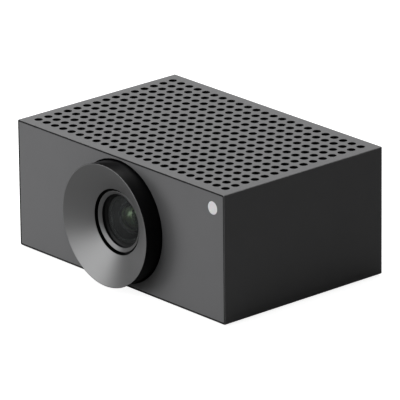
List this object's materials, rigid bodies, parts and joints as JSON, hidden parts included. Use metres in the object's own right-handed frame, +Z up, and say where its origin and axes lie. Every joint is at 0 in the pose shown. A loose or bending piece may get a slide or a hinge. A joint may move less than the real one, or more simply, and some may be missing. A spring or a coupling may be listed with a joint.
{
  "type": "conference camera",
  "caption": "Box-shaped conference camera with a perforated aluminium sleeve, a conical lens hood, a status light and rear sockets.",
  "frame": {"origin": "middle of the footprint, on the surface that the rubber feet stand on", "axes": "+X to the right seen from the front, along the width; +Y from the lens to the rear sockets; +Z up"},
  "size_m": [0.102, 0.0754, 0.0445],
  "materials": {
    "shell_grey": "fine-blasted grey anodised",
    "plate_grey": "fine-blasted dark grey anodised",
    "seal_black": "matt",
    "foot_rubber": "matt",
    "hood_black": "satin black anodised",
    "lens_metal_black": "matt black",
    "ring_grey": "satin grey anodised",
    "coated_glass": "polished with an anti-reflection coating",
    "filter_glass": "polished",
    "light_diffuser": "milky",
    "screw_black": "black oxide",
    "screw_zinc": "zinc plated",
    "brass": "turned",
    "sheet_steel": "zinc plated sheet",
    "sink_aluminium": "black anodised extrusion",
    "board_green": "solder mask on glass fibre",
    "chip_black": "moulded epoxy",
    "capacitor_metal": "plain can",
    "pad_blue": "soft silicone",
    "ceramic": "ceramic package",
    "led_white": "moulded",
    "socket_white": "moulded",
    "ribbon_orange": "polyimide film",
    "shell_nickel": "nickel plated",
    "socket_black": "moulded",
    "contact_gold": "gold plated",
    "button_black": "moulded"
  },
  "bodies": {
    "camera": {"board_socket": "socket_white", "capacitors": "capacitor_metal", "chassis": "sheet_steel", "chassis_screws": "screw_zinc", "ethernet_contacts": "contact_gold", "ethernet_insert": "socket_black", "ethernet_shell": "shell_nickel", "front_lens_element": "coated_glass", "front_plate": "plate_grey", "front_ring": "ring_grey", "front_seal": "seal_black", "front_spacer": "lens_metal_black", "heat_sink": "sink_aluminium", "heat_sink_screws": "screw_zinc", "image_sensor": "ceramic", "infrared_filter": "filter_glass", "iris_plate": "lens_metal_black", "lens_barrel": "lens_metal_black", "lens_hood": "hood_black", "lens_housing": "lens_metal_black", "lens_screws": "screw_black", "light_board": "board_green", "light_board_screw": "screw_zinc", "light_board_socket": "socket_white", "light_ribbon": "ribbon_orange", "light_socket": "socket_white", "main_board": "board_green", "memory_chips": "chip_black", "middle_spacer": "lens_metal_black", "network_chip": "chip_black", "power_inductors": "chip_black", "processor": "chip_black", "rear_lens_element": "coated_glass", "rear_plate": "plate_grey", "rear_ring": "lens_metal_black", "rear_screws": "screw_black", "rear_spacer": "lens_metal_black", "reset_switch": "chip_black", "rubber_feet": "foot_rubber", "second_lens_element": "coated_glass", "sensor_board": "board_green", "sensor_glass": "coated_glass", "sensor_ribbon": "ribbon_orange", "sensor_screws": "screw_zinc", "sensor_socket": "socket_white", "sleeve": "shell_grey", "standoffs": "brass", "status_led": "led_white", "status_light_lens": "light_diffuser", "thermal_pad": "pad_blue", "third_lens_element": "coated_glass", "tripod_insert": "brass", "usb_shell": "shell_nickel", "usb_tongue": "socket_black"},
    "button": {"reset_button": "button_black", "switch_stem": "button_black"}
  },
  "joints": [
    {"name": "reset_press", "type": "slide", "parent": "camera", "child": "button", "axis": [0, -1, 0], "range_m": [0, 0.0005], "stiffness_N_per_m": 1500}
  ]
}
